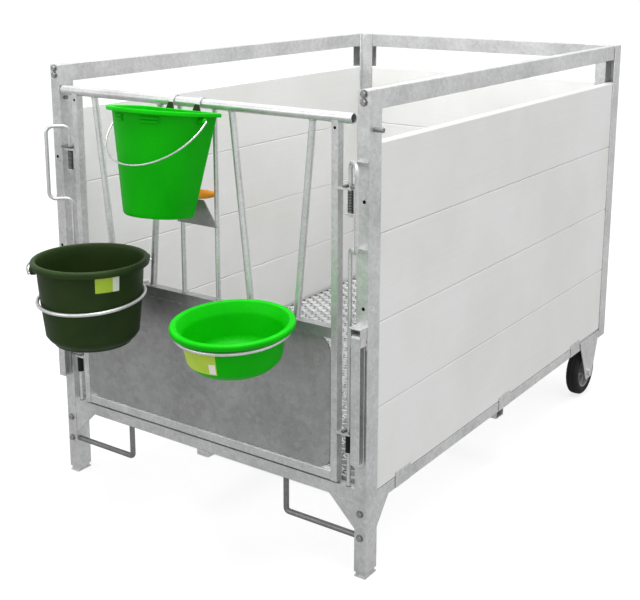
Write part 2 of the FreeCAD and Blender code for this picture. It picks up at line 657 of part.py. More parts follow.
# lifting handles ---------------------------------------------------------------------------
def handle_brackets():
    """A hood and two cheeks on each front post, with the pivot pin between them."""
    middle = "(wide/2 - post_wide/2)"
    pieces = []
    for side, sign in SIDES:
        rear = box(f"bracket_{side}_back", side_span(sign, f"{middle} - 16", f"{middle} + 16"),
                   ("-cheek", "0"), ("pivot_level - 34", "hood_high"))
        hood = box(f"bracket_{side}_hood", side_span(sign, f"{middle} - 18", f"{middle} + 18"),
                   ("arm_front - 5", "0"), ("hood_high", "hood_high + cheek"))
        pieces += [rear, hood]
        for name, offset in (("in", "-arm_half - cheek - 0.4"), ("out", "arm_half + 0.4")):
            near = f"{middle} + ({offset})"
            pieces.append(box(f"cheek_{side}_{name}", side_span(sign, near, f"{near} + cheek"),
                              ("arm_front", "0"), ("pivot_level - 20", "hood_high")))
        pin_start = side_span(sign, f"{middle} - arm_half - cheek", f"{middle} + arm_half")[0]
        pieces.append(rod(f"pivot_{side}", "x", "pivot_radius",
                          (pin_start, "pivot_line", "pivot_level"), "2*arm_half + cheek"))
    keep("handle_brackets", join("brackets_joined", pieces))


def lifting_arm(side, sign):
    """A channel, open to its right side, that hangs from the pivot pin and folds out forwards."""
    start = f"{sign}*(wide/2 - post_wide/2) - arm_half"
    bar = box(f"arm_{side}_bar", (start, f"{start} + 2*arm_half"), ("arm_front", "arm_back"),
              ("arm_low", "pivot_level"))
    end = rod(f"arm_{side}_end", "x", "pivot_line - arm_front",
              (start, "pivot_line", "pivot_level"), "2*arm_half")
    hollow = box(f"arm_{side}_hollow", (f"{start} + arm_wall", f"{start} + 2*arm_half"),
                 ("arm_front + arm_wall", "arm_back - arm_wall"),
                 ("arm_low + arm_wall", "pivot_level - pivot_radius - arm_wall"))
    bore = rod(f"arm_{side}_bore", "x", "pivot_radius + axle_fit",
               (start, "pivot_line", "pivot_level"), "2*arm_half")
    outer = join(f"arm_{side}_outer", [bar, end])
    keep(f"lifting_arm_{side}", cut(f"arm_{side}", outer, [hollow, bore]))


# rings, buckets and bowl -------------------------------------------------------------------
def bucket_ring(node, middle):
    """A round bar ring that droops a little, with a hook over the panel rail."""
    ring = doc.addObject("Part::Torus", f"{node}_bar")
    ring.setExpression("Radius1", bound("ring_radius"))
    ring.setExpression("Radius2", bound("ring_bar"))
    place(ring, middle, "round_y", "ring_level",
          Rotation(Vector(1, 0, 0), number("ring_droop")))
    span = (f"{middle} - hook_half", f"{middle} + hook_half")
    back = "gate_line + panel_half + 1"
    front = "gate_line - panel_half - 0.5"
    top = "panel_high + 0.3"
    shelf_top = "ring_level + ring_rise + hook_thick/2"
    shelf = box(f"{node}_shelf", span, ("round_y + ring_radius - 2", front),
                (f"{shelf_top} - hook_thick", shelf_top))
    over = box(f"{node}_over", span, (f"{front} - hook_thick", f"{back} + hook_thick"),
               (top, f"{top} + hook_thick"))
    behind = box(f"{node}_behind", span, (back, f"{back} + hook_thick"),
                 ("panel_high - 25", top))
    ahead = box(f"{node}_ahead", span, (f"{front} - hook_thick", front),
                ("panel_high - 42", shelf_top))
    keep(node, join(f"{node}_joined", [ring, shelf, over, behind, ahead]))


def leaned(turn, y, z, line_y, line_z):
    """Where a point goes when it is turned about the X line through line_y and line_z."""
    away = turn.multVec(Vector(0, number(f"({y}) - ({line_y})"), number(f"({z}) - ({line_z})")))
    return f"{line_y} + ({away.y:.4f})", f"{line_z} + ({away.z:.4f})"


def round_vessel(name, middle, low, high, foot, mouth, lip):
    """A tapered round vessel with a folded-out lip."""
    rise = f"({high} - {low})"
    corners = (("0", "0"), (foot, "0"), (mouth, f"{rise} - lip_high"),
               (lip, f"{rise} - lip_high"), (lip, rise), (f"{mouth} - shell", rise),
               (f"{foot} - shell", "shell"), ("0", "shell"))
    return turned(name, corners, middle, "round_y", low)


def feed_bucket():
    """The tall dark bucket, its two ears and its wire bail folded back round the rim."""
    shell = round_vessel("bucket_shell", "bucket_x", "bucket_low", "bucket_high", "bucket_foot",
                         "bucket_mouth", "bucket_lip")
    ears = []
    for index, half_turn in enumerate((0, 180)):
        angle = math.radians(number("ear_turn") + half_turn)
        ear = doc.addObject("Part::Cylinder", f"bucket_ear_{index}")
        ear.setExpression("Radius", bound("lip_high"))
        ear.setExpression("Height", bound("bucket_lip + 3 - bucket_mouth + 2*shell"))
        reach = "(bucket_mouth - 2*shell)"
        outward = Vector(math.cos(angle), math.sin(angle), 0)
        ears.append(place(ear, f"bucket_x + {reach}*{outward.x}", f"round_y + {reach}*{outward.y}",
                          "ear_level", Rotation(Vector(0, 0, 1), outward)))
    low_cone = doc.addObject("Part::Cone", "bucket_inside")
    low_cone.setExpression("Radius1", bound("bucket_foot - shell"))
    low_cone.setExpression("Radius2", bound("bucket_mouth - shell"))
    low_cone.setExpression("Height", bound("bucket_high - bucket_low - shell"))
    place(low_cone, "bucket_x", "round_y", "bucket_low + shell")
    joined = join("bucket_joined", [shell] + ears)
    keep("feed_bucket", cut("bucket_cleared", joined, [low_cone]))
    half_ring = doc.addObject("Part::Torus", "bail_ring")
    half_ring.setExpression("Radius1", bound("bail_radius"))
    half_ring.setExpression("Radius2", bound("bail_wire"))
    half_ring.Angle3 = 180
    place(half_ring, "bucket_x", "round_y", "ear_level",
          Rotation(Vector(0, 0, 1), number("ear_turn")))
    keep("feed_bucket_bail", half_ring)


def feed_bowl():
    """The shallow bowl, which droops with the right ring."""
    bowl = round_vessel("bowl_shell", "bowl_x", "bowl_low", "bowl_high", "bowl_foot",
                        "bowl_mouth", "bowl_lip")
    droop = Rotation(Vector(1, 0, 0), number("bowl_droop"))
    place(bowl, "bowl_x", *leaned(droop, "round_y", "bowl_low", "round_y", "ring_level"), droop)
    keep("feed_bowl", bowl)


def flat_back_sketch(body, name, level, half_width, back):
    """A D outline: straight back, straight sides and a half-round front."""
    sketch = sketch_on(body, name, "XY_Plane", level)
    reach = number(back)
    half = number(half_width)
    left_back = Vector(-half, reach, 0)
    right_back = Vector(half, reach, 0)
    left = Vector(-half, 0, 0)
    right = Vector(half, 0, 0)
    sketch.addGeometry(Part.LineSegment(left, left_back))
    sketch.addGeometry(Part.LineSegment(left_back, right_back))
    sketch.addGeometry(Part.LineSegment(right_back, right))
    sketch.addGeometry(Part.Arc(right, Vector(0, -half, 0), left))
    chain(sketch, closed=True)
    return sketch


def loft(body, kind, name, lower, upper):
    """Add or take away the solid between two outlines."""
    feature = body.newObject(kind, name)
    feature.Profile = lower
    feature.Sections = [upper]
    feature.Ruled = True
    return feature


def teat_bucket():
    """The flat-backed milk bucket, its two hooks, its bail and its teat, all leaning forward."""
    lean = Rotation(Vector(1, 0, 0), -number("milk_lean"))
    about_tube = Placement(Vector(), lean, Vector(0, number("gate_line + shift_y"),
                                                  number("tube_level")))
    body = doc.addObject("PartDesign::Body", "milk_body")
    rise = "milk_high - milk_low"
    low = flat_back_sketch(body, "milk_foot_outline", "0", "milk_foot", "milk_heel - milk_y")
    high = flat_back_sketch(body, "milk_mouth_outline", rise, "milk_mouth", "milk_back - milk_y")
    loft(body, "PartDesign::AdditiveLoft", "milk_outside", low, high)
    rim_low = flat_back_sketch(body, "milk_rim_low", f"{rise} - lip_high", "milk_lip",
                               "milk_back - milk_y")
    rim_high = flat_back_sketch(body, "milk_rim_high", rise, "milk_lip", "milk_back - milk_y")
    loft(body, "PartDesign::AdditiveLoft", "milk_rim", rim_low, rim_high)
    low_in = flat_back_sketch(body, "milk_foot_inside", "shell", "milk_foot - shell",
                              "milk_heel - milk_y - shell")
    high_in = flat_back_sketch(body, "milk_mouth_inside", rise, "milk_mouth - shell",
                               "milk_back - milk_y - shell")
    loft(body, "PartDesign::SubtractiveLoft", "milk_inside", low_in, high_in)
    place(body, "milk_x", "milk_y", "milk_low")
    ears = []
    ear_tip = "milk_bail - bail_wire - 1"
    for side, sign in SIDES:
        start = side_span(sign, "milk_mouth - 2*shell", ear_tip)[0]
        ears.append(rod(f"milk_ear_{side}", "x", "lip_high", (f"milk_x + {start}", "milk_y",
                        "milk_ear"), f"{ear_tip} - milk_mouth + 2*shell"))
    bucket = join("milk_joined", [body] + ears)
    bucket.Placement = about_tube
    keep("teat_bucket", bucket)

    hooks = []
    tube_top = "tube_level + tube_radius + 0.4"
    front = "milk_back + 0.2"
    back = "gate_line + tube_radius + 2.5"
    for index, middle in enumerate(MILK_HOOKS):
        span = (f"{middle} - hook_half", f"{middle} + hook_half")
        hooks.append(box(f"milk_hook_{index}_over", span, (front, f"{back} + hook_thick"),
                         (tube_top, f"{tube_top} + hook_thick")))
        hooks.append(box(f"milk_hook_{index}_ahead", span, (front, f"{front} + hook_thick"),
                         ("milk_high - 30", tube_top)))
        hooks.append(box(f"milk_hook_{index}_behind", span, (back, f"{back} + hook_thick"),
                         ("tube_level - 12", tube_top)))
    joined_hooks = join("milk_hooks", hooks)
    joined_hooks.Placement = about_tube
    keep("teat_bucket_hooks", joined_hooks)

    half = number("milk_bail")
    leg_end = -number("milk_leg")
    wire = Part.Wire([
        Part.LineSegment(Vector(-half, 0, 0), Vector(-half, leg_end, 0)).toShape(),
        Part.Arc(Vector(-half, leg_end, 0), Vector(0, leg_end - half, 0),
                 Vector(half, leg_end, 0)).toShape(),
        Part.LineSegment(Vector(half, leg_end, 0), Vector(half, 0, 0)).toShape()])
    section = Part.Wire([Part.Circle(Vector(-half, 0, 0), Vector(0, 1, 0),
                                     number("bail_wire")).toShape()])
    bail = doc.addObject("Part::Feature", "milk_bail_wire")
    bail.Shape = wire.makePipeShell([section], True, True)
    place(bail, "milk_x", *leaned(lean, "milk_y", "milk_ear", "gate_line", "tube_level"),
          Rotation(Vector(1, 0, 0), number("milk_droop")))
    keep("teat_bucket_bail", bail)

    steps = (("0", "0"), ("teat_radius + 4", "0"), ("teat_radius + 4", "5"),
             ("teat_radius - 1", "8"), ("teat_radius - 1", "20"), ("teat_radius", "24"),
             ("teat_radius - 3", "teat_long - 14"), ("teat_radius - 7", "teat_long"),
             ("0", "teat_long"))
    slope = "(milk_back - milk_heel)/(milk_high - milk_low)"
    spot = leaned(lean, f"milk_heel + {slope}*(teat_level - milk_low)", "teat_level",
                  "gate_line", "tube_level")
    teat = turned("teat_turned", steps, "teat_x", *spot)
    droop = math.degrees(math.atan(number(slope))) + number("milk_lean")
    teat.Placement = Placement(teat.Placement.Base, Rotation(Vector(1, 0, 0), -90 - droop))
    keep("teat", teat)


def build():
    """Every sub-part of the hutch, frame first."""
    for side, sign in SIDES:
        front_post(side, sign)
        rear_post(side, sign)
        side_rails(side, sign)
        leg(side, sign)
        plank_wall(f"wall_{side}", side_span(sign, PLANK_IN, PLANK_OUT), (WALL_FRONT, WALL_REAR))
        brace(side, sign)
        wheel_bracket(side, sign)
        wheel(side, sign)
        drop_rod(side, sign)
        spring(side, sign)
        lifting_arm(side, sign)
    rear_rails()
    plank_wall("wall_rear", (f"-({REAR_SIDE})", REAR_SIDE), (REAR_NEAR, REAR_FAR))
    front_sill()
    bearers()
    floor_grating()
    gussets()
    plank_clips()
    coupling_pins()
    frame_bolts()
    axles()
    gate_frame()
    gate_sheet()
    gate_bars()
    gate_eyes()
    rod_catches()
    handle_brackets()
    bucket_ring("bucket_ring", "bucket_x")
    bucket_ring("bowl_ring", "bowl_x")
    feed_bucket()
    feed_bowl()
    teat_bucket()


def check_and_write():
    """Refuse to write anything from a failed object; then write one file for each sub-part."""
    doc.recompute()
    for item in doc.Objects:
        if "Invalid" in item.State or "Error" in item.State:
            raise RuntimeError(f"{item.Name} is in state {item.State}")
    for node, piece in nodes:
        if piece.Shape.isNull() or not piece.Shape.isValid():
            raise RuntimeError(f"{node} has no valid shape")
        if not piece.Shape.Solids:
            raise RuntimeError(f"{node} has no solid")
    os.makedirs("parts", exist_ok=True)
    whole = FreeCAD.BoundBox()
    for node, piece in nodes:
        whole.add(piece.Shape.optimalBoundingBox(True))
        piece.Shape.exportStep(f"parts/{node}.step")
    print(f"{len(nodes)} sub-parts")
    print(f"X {whole.XMin:.3f} to {whole.XMax:.3f}, Y {whole.YMin:.3f} to {whole.YMax:.3f}, "
          f"Z {whole.ZMin:.3f} to {whole.ZMax:.3f}")


build()
check_and_write()
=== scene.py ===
"""Looks of the mobile calf hutch: camera, light, materials and detailed pieces round its frame.

Lengths are metres in the row frame, and outlines are in millimetres. Places are read from the
boxes of the CAD nodes where they can be.
"""
import bmesh
import bpy
import json
import math
import random
from mathutils import Matrix, Vector

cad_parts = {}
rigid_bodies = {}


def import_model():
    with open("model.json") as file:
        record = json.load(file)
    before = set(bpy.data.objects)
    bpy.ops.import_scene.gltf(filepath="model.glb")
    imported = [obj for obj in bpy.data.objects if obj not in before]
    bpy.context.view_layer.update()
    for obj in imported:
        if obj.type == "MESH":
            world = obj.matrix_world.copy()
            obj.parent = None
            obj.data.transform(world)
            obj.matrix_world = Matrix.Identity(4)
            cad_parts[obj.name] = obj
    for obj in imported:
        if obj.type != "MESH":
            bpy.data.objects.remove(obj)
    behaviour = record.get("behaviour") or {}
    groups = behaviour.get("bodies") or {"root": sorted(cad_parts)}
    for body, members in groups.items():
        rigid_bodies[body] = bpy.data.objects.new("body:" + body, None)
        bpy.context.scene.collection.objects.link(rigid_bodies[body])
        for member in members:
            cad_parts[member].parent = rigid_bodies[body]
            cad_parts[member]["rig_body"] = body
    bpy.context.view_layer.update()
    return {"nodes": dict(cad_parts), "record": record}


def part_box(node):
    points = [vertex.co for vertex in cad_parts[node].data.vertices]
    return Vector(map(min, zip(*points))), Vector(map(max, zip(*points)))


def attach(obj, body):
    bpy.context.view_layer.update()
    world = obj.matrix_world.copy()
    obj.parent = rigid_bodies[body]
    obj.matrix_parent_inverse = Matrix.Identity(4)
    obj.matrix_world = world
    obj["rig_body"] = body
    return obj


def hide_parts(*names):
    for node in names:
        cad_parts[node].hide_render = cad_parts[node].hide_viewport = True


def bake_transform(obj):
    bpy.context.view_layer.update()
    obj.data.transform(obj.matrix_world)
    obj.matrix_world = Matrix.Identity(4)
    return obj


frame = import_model()
NODES = frame["nodes"]
SLOT_OF = {part["node"]: part["material_slot"] for part in frame["record"]["subparts"]}
BODY_OF = {node: piece["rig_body"] for node, piece in NODES.items()}
SIDES = (("left", -1), ("right", 1))
MM = 0.001
X, Y, Z = Vector((1, 0, 0)), Vector((0, 1, 0)), Vector((0, 0, 1))


# camera, light and floor --------------------------------------------------------------------
def make_camera():
    data = bpy.data.cameras.new("camera")
    data.sensor_width = 36
    data.lens = 61.88
    data.shift_x = 0.0051
    data.shift_y = -0.1562
    camera = bpy.data.objects.new("camera", data)
    camera.location = (1.9492, -2.8851, 1.6067)
    camera.rotation_euler = (1.3527, -0.0004, 0.6127)
    bpy.context.scene.collection.objects.link(camera)
    bpy.context.scene.camera = camera


def make_lamp(name, place, target, size, power):
    data = bpy.data.lights.new(name, "AREA")
    data.shape = "DISK"
    data.size = size
    data.energy = power
    lamp = bpy.data.objects.new(name, data)
    lamp.location = place
    lamp.rotation_euler = (Vector(target) - Vector(place)).to_track_quat("-Z", "Y").to_euler()
    bpy.context.scene.collection.objects.link(lamp)


def map_range(tree, value, start, end, low, high):
    """A value that goes from low to high while another one goes from start to end."""
    node = tree.nodes.new("ShaderNodeMapRange")
    for name, number in (("From Min", start), ("From Max", end), ("To Min", low), ("To Max", high)):
        node.inputs[name].default_value = number
    tree.links.new(value, node.inputs["Value"])
    return node.outputs["Result"]


def calculate(tree, operation, *values):
    """A maths node on sockets or plain numbers."""
    node = tree.nodes.new("ShaderNodeMath")
    node.operation = operation
    for value, socket in zip(values, node.inputs):
        if isinstance(value, float):
            socket.default_value = value
        else:
            tree.links.new(value, socket)
    return node.outputs["Value"]


def make_world():
    """White surroundings, brighter overhead, at the horizon and on the pen's right side."""
    world = bpy.data.worlds.new("studio")
    bpy.context.scene.world = world
    world.use_nodes = True
    tree = world.node_tree
    place = tree.nodes.new("ShaderNodeTexCoord")

    def wall(direction, start, end, least, most):
        """Strength that changes from least to most towards a direction."""
        towards = tree.nodes.new("ShaderNodeVectorMath")
        towards.operation = "DOT_PRODUCT"
        towards.inputs[1].default_value = direction
        tree.links.new(place.outputs["Generated"], towards.inputs[0])
        return map_range(tree, towards.outputs["Value"], start, end, least, most)

    sides = wall((0.75, 0.40, 0.50), -0.55, 0.65, 0.52, 0.70)
    above_ground = wall(Z, -0.10, -0.04, 0.0, 1.1)
    below_sky = wall(Z, 0.26, 0.36, 1.1, 0.0)
    ceiling = wall(Z, 0.50, 0.80, 0.0, 1.5)
    horizon = calculate(tree, "MINIMUM", above_ground, below_sky)
    brightest = calculate(tree, "MAXIMUM", calculate(tree, "MAXIMUM", sides, horizon), ceiling)
    tree.links.new(brightest, tree.nodes["Background"].inputs["Strength"])
    tree.nodes["Background"].inputs["Color"].default_value = (1.0, 1.0, 1.0, 1)


def make_floor():
    """White ground that glows and casts no light, with a painted shadow in the middle below the floor
    grating.
    """
    reach = 30
    glow = 0.76
    mesh = bpy.data.meshes.new("floor")
    mesh.from_pydata([(-reach, -reach, 0), (reach, -reach, 0), (reach, reach, 0),
                      (-reach, reach, 0)], [], [(0, 1, 2, 3)])
    floor = bpy.data.objects.new("floor", mesh)
    bpy.context.scene.collection.objects.link(floor)
    floor.visible_diffuse = False
    floor.visible_glossy = False
    paint = bpy.data.materials.new("floor_paint")
    paint.use_nodes = True
    tree = paint.node_tree
    place = tree.nodes.new("ShaderNodeTexCoord")
    parts = tree.nodes.new("ShaderNodeSeparateXYZ")
    tree.links.new(place.outputs["Object"], parts.inputs[0])
    # painted shadow: the glow fades to nothing in a box below the pen, where the dark base colour
    # shows
    edges = []
    for axis, middle_at, inner, outer in (("X", -0.05, 0.22, 0.36), ("Y", 0.30, 0.50, 0.64)):
        away = calculate(tree, "SUBTRACT", parts.outputs[axis], middle_at)
        distance = calculate(tree, "ABSOLUTE", away)
        edges.append(map_range(tree, distance, inner, outer, 0.0, glow))
    shader = tree.nodes["Principled BSDF"]
    shader.inputs["Base Color"].default_value = (0.25, 0.25, 0.25, 1)
    shader.inputs["Emission Color"].default_value = (1.0, 1.0, 1.0, 1)
    shader.inputs["Roughness"].default_value = 0.9
    tree.links.new(calculate(tree, "MAXIMUM", *edges), shader.inputs["Emission Strength"])
    mesh.materials.append(paint)


def make_studio():
    make_world()
    make_lamp("key", (0.3, -0.7, 4.6), (0, 0.3, 0.5), 2.6, 215)
    make_lamp("fill", (-1.6, -4.2, 2.6), (0, -0.4, 0.6), 2.6, 26)
    make_floor()


# materials ----------------------------------------------------------------------------------
class Finish:
    """A procedural material: a base colour varied by noise, with its own roughness and bump."""

    def __init__(self, name, metallic=0.0, specular=0.5):
        self.made = bpy.data.materials.new(name)
        self.made.use_nodes = True
        self.tree = self.made.node_tree
        self.shader = self.tree.nodes["Principled BSDF"]
        self.shader.inputs["Metallic"].default_value = metallic
        self.shader.inputs["Specular IOR Level"].default_value = specular
        self.place = self.tree.nodes.new("ShaderNodeTexCoord").outputs["Object"]

    def link(self, out, into):
        self.tree.links.new(out, into)

    def stretched(self, scale):
        """The object's own coordinates, scaled along each axis."""
        node = self.tree.nodes.new("ShaderNodeMapping")
        node.inputs["Scale"].default_value = scale
        self.link(self.place, node.inputs["Vector"])
        return node.outputs["Vector"]

    def noise(self, scale, detail=3.0, rough=0.55, place=None):
        node = self.tree.nodes.new("ShaderNodeTexNoise")
        node.inputs["Scale"].default_value = scale
        node.inputs["Detail"].default_value = detail
        node.inputs["Roughness"].default_value = rough
        self.link(place or self.place, node.inputs["Vector"])
        return node.outputs["Fac"]

    def cells(self, scale):
        """A random value for each cell of a Voronoi pattern, as zinc crystals have."""
        node = self.tree.nodes.new("ShaderNodeTexVoronoi")
        node.inputs["Scale"].default_value = scale
        self.link(self.place, node.inputs["Vector"])
        split = self.tree.nodes.new("ShaderNodeSeparateColor")
        self.link(node.outputs["Color"], split.inputs["Color"])
        return split.outputs["Red"]

    def ramp(self, value, stops):
        node = self.tree.nodes.new("ShaderNodeValToRGB")
        ramp = node.color_ramp
        while len(ramp.elements) < len(stops):
            ramp.elements.new(0.5)
        for element, (spot, colour) in zip(ramp.elements, stops):
            element.position = spot
            element.color = (*colour, 1)
        self.link(value, node.inputs["Fac"])
        return node.outputs["Color"]

    def blend(self, first, second, share, kind="MIX"):
        node = self.tree.nodes.new("ShaderNodeMix")
        node.data_type = "RGBA"
        node.blend_type = kind
        if isinstance(share, float):
            node.inputs["Factor"].default_value = share
        else:
            self.link(share, node.inputs["Factor"])
        for value, name in ((first, "A"), (second, "B")):
            socket = [s for s in node.inputs if s.name == name and s.type == "RGBA"][0]
            if isinstance(value, tuple):
                socket.default_value = (*value, 1)
            else:
                self.link(value, socket)
        return [s for s in node.outputs if s.type == "RGBA"][0]

    def colour(self, value):
        self.link(value, self.shader.inputs["Base Color"])
        return self

    def roughness(self, value, low, high):
        spread = map_range(self.tree, value, 0.25, 0.75, low, high)
        self.link(spread, self.shader.inputs["Roughness"])
        return self

    def bump(self, height, strength, distance):
        node = self.tree.nodes.new("ShaderNodeBump")
        node.inputs["Strength"].default_value = strength
        node.inputs["Distance"].default_value = distance
        self.link(height, node.inputs["Height"])
        self.link(node.outputs["Normal"], self.shader.inputs["Normal"])
        return self

    def painted_crevice_shade(self, colour, reach, dark):
        """The colour, darkened where other surfaces stand close: painted shade in crevices and
        between parts.
        """
        node = self.tree.nodes.new("ShaderNodeAmbientOcclusion")
        node.inputs["Distance"].default_value = reach
        node.samples = 4
        return self.blend(dark, colour, node.outputs["AO"])


def grey(value):
    return (value, value * 1.003, value * 1.006)


def zinc(name, dark, light, metallic, smooth, rough, crystal, shade_reach=0.0):
    """Hot-dip galvanised steel: crystals, cloudy patches, a fine grain and, with a shade reach,
    painted shade where surfaces stand close.
    """
    made = Finish(name, metallic=metallic)
    crystals = made.ramp(made.cells(crystal), ((0.0, grey(dark)), (1.0, grey(light))))
    clouds = made.ramp(made.noise(7.0, 4.0, 0.6), ((0.3, grey(dark)), (0.7, grey(light))))
    mixed = made.blend(crystals, clouds, 0.62)
    grain = made.ramp(made.noise(260.0, 2.0), ((0.3, grey(0.82)), (0.7, grey(1.0))))
    colour = made.blend(mixed, grain, 0.8, "MULTIPLY")
    # painted shade: ambient occlusion darkens the colour in crevices and between parts
    if shade_reach:
        colour = made.painted_crevice_shade(colour, shade_reach, grey(0.03))
    made.colour(colour)
    made.roughness(made.noise(22.0), smooth, rough)
    return made.bump(made.noise(120.0, 4.0), 0.25, 0.0006)


def plastic(name, dark, light, smooth, rough, bump=0.0003):
    """Moulded plastic: a slight drift of colour and a fine orange-peel surface."""
    made = Finish(name, specular=0.10)
    drift = made.ramp(made.noise(9.0, 3.0), ((0.3, dark), (0.7, light)))
    speck = made.ramp(made.noise(400.0, 2.0), ((0.3, grey(0.92)), (0.6, grey(1.0))))
    made.colour(made.blend(drift, speck, 0.7, "MULTIPLY"))
    made.roughness(made.noise(30.0), smooth, rough)
    return made.bump(made.noise(300.0, 2.0), 0.2, bump)


def plank_finish():
    """Satin extruded plank: off-white, drawn lines along the board and a little dust."""
    made = Finish("white_plank_board")
    drawn = made.noise(60.0, 3.0, 0.5, made.stretched((0.05, 0.05, 4.0)))
    base = made.ramp(drawn, ((0.3, (0.735, 0.735, 0.728)), (0.7, (0.755, 0.755, 0.75))))
    dust = made.ramp(made.noise(3.0, 5.0), ((0.35, (0.93, 0.925, 0.90)), (0.6, grey(1.0))))
    made.colour(made.blend(base, dust, 0.8, "MULTIPLY"))
    made.roughness(made.noise(40.0), 0.38, 0.55)
    return made.bump(drawn, 0.05, 0.0003)


def make_finishes():
    return {
        "galvanised_steel": zinc("galvanised_mottled", 0.52, 0.78, 0.72, 0.34, 0.5, 95.0),
        "panel_steel": zinc("galvanised_panel", 0.30, 0.45, 0.70, 0.36, 0.52, 60.0),
        "bar_steel": zinc("galvanised_bar", 0.60, 0.84, 0.75, 0.28, 0.42, 140.0),
        # floor_steel: the last number is the reach of the painted crevice shade
        "floor_steel": zinc("galvanised_floor", 0.34, 0.56, 0.6, 0.4, 0.6, 120.0, 0.012),
        "zinc_plated_steel": zinc("bright_zinc", 0.55, 0.78, 0.85, 0.2, 0.34, 160.0),
        "dull_steel": zinc("galvanised_dull", 0.18, 0.30, 0.75, 0.32, 0.5, 120.0),
        "bolt_steel": zinc("bolt_zinc", 0.30, 0.46, 0.9, 0.2, 0.34, 160.0),
        "dark_spring_steel": zinc("oiled_spring", 0.012, 0.03, 0.1, 0.45, 0.6, 200.0),
        "weld_bead": zinc("weld_bead", 0.34, 0.6, 0.7, 0.3, 0.5, 300.0),
        "white_plank": plank_finish(),
        "bright_green_plastic": plastic("bright_green_moulded", (0.001, 0.38, 0.0005),
                                        (0.003, 0.45, 0.001), 0.4, 0.52),
        "dark_green_plastic": plastic("dark_green_moulded", (0.016, 0.034, 0.008),
                                      (0.026, 0.047, 0.012), 0.36, 0.5),
        "black_plastic": plastic("black_moulded", (0.012,) * 3, (0.022,) * 3, 0.4, 0.55),
        "orange_rubber": plastic("orange_rubber_soft", (0.75, 0.27, 0.02), (0.85, 0.36, 0.04),
                                 0.45, 0.6),
        "black_rubber_tyre": plastic("tyre_rubber", (0.012,) * 3, (0.03,) * 3, 0.6, 0.8,
                                     bump=0.0008),
        "grey_hub": plastic("hub_moulded", (0.22,) * 3, (0.3,) * 3, 0.4, 0.6),
        "hole_shadow": plastic("hole_shadow", (0.006,) * 3, (0.012,) * 3, 0.8, 0.95),
        "label_lime": plastic("label_lime", (0.38, 0.55, 0.04), (0.50, 0.68, 0.08), 0.3, 0.4),
        "label_white": plastic("label_white", (0.7, 0.72, 0.62), (0.85, 0.86, 0.8), 0.3, 0.4),
    }


# mesh helpers -------------------------------------------------------------------------------
def corners(node):
    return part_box(node)


def middle(node):
    low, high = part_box(node)
    return (low + high) / 2


def add(name, work, finish, body, nodes=(), sharp=35, bevel=0.0):
    """Make an object of a bmesh, give it its finish and body, and hide the nodes it stands for."""
    bmesh.ops.recalc_face_normals(work, faces=work.faces)
    mesh = bpy.data.meshes.new(name)
    work.to_mesh(mesh)
    work.free()
    piece = bpy.data.objects.new(name, mesh)
    bpy.context.scene.collection.objects.link(piece)
    mesh.materials.append(FINISHES[finish].made)
    if bevel:
        edge = piece.modifiers.new("edge", "BEVEL")
        edge.width = bevel
        edge.segments = 2
        edge.limit_method = "ANGLE"
        edge.angle_limit = math.radians(40)
        edge.harden_normals = True
    mesh.shade_smooth()
    mesh.set_sharp_from_angle(angle=math.radians(sharp))
    if body:
        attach(piece, body)
    if nodes:
        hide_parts(*nodes)
    return piece


def block(work, low, high):
    """A closed box between two corners."""
    bmesh.ops.create_cube(work, size=1, matrix=Matrix.Translation((low + high) / 2)
                          @ Matrix.Diagonal((*(high - low), 1)))


def frame_of(along):
    """Two directions across a line."""
    side = along.cross(Z if abs(along.z) < 0.9 else X).normalized()
    return side, along.cross(side).normalized()


def bridge(work, rings):
    """Join each ring of corners to the next one with four-sided faces."""
    for lower, upper in zip(rings, rings[1:]):
        count = len(lower)
        for step in range(count):
            after = (step + 1) % count
            work.faces.new((lower[step], lower[after], upper[after], upper[step]))


def cap(work, rings):
    """Close the first and the last ring."""
    work.faces.new(rings[0])
    work.faces.new(rings[-1])


def lathe(work, outline, origin, along, turns=96, closed=False):
    """Turn an outline of (radius, height) pairs about the line through origin."""
    side, up = frame_of(along)
    rings = []
    for radius, height in outline:
        centre = origin + along * height
        if radius < 1e-7:
            rings.append([work.verts.new(centre)] * turns)
            continue
        angles = [2 * math.pi * step / turns for step in range(turns)]
        rings.append([work.verts.new(centre + radius * (side * math.cos(a) + up * math.sin(a)))
                      for a in angles])
    pairs = list(zip(rings, rings[1:]))
    if closed:
        pairs.append((rings[-1], rings[0]))
    for lower, upper in pairs:
        for step in range(turns):
            after = (step + 1) % turns
            ring = [lower[step], lower[after], upper[after], upper[step]]
            face = [v for i, v in enumerate(ring) if v not in ring[:i]]
            if len(face) > 2:
                work.faces.new(face)


def filleted(points, steps=4):
    """An outline in metres from corners (across, up, corner radius) in millimetres."""
    out = []
    count = len(points)
    for index, (across, up, radius) in enumerate(points):
        here = Vector((across, up))
        before = Vector(points[index - 1][:2]) if index else here
        after = Vector(points[(index + 1) % count][:2]) if index < count - 1 else here
        if not radius or index in (0, count - 1):
            out.append((across * MM, up * MM))
            continue
        back, ahead = (before - here).normalized(), (after - here).normalized()
        first, last = here + back * radius, here + ahead * radius
        for step in range(steps + 1):
            t = step / steps
            spot = first * (1 - t) ** 2 + here * 2 * t * (1 - t) + last * t ** 2
            out.append((spot.x * MM, spot.y * MM))
    return out


def tube(work, points, radius, sides=12, ends=True):
    """Sweep a circle along a line of points."""
    rings = []
    side = frame_of((points[1] - points[0]).normalized())[0]
    for index, point in enumerate(points):
        before = points[max(index - 1, 0)]
        after = points[min(index + 1, len(points) - 1)]
        along = (after - before).normalized()
        side = (side - along * side.dot(along)).normalized()
        up = along.cross(side)
        rings.append([work.verts.new(point + radius * (side * math.cos(a) + up * math.sin(a)))
                      for a in (2 * math.pi * s / sides for s in range(sides))])
    bridge(work, rings)
    if ends:
        cap(work, rings)


def arc(centre, first, second, start, end, steps):
    """Points on an arc whose radius vectors at 0 and 90 degrees are first and second."""
    angles = [math.radians(start + (end - start) * step / steps) for step in range(steps + 1)]
    return [centre + first * math.cos(a) + second * math.sin(a) for a in angles]


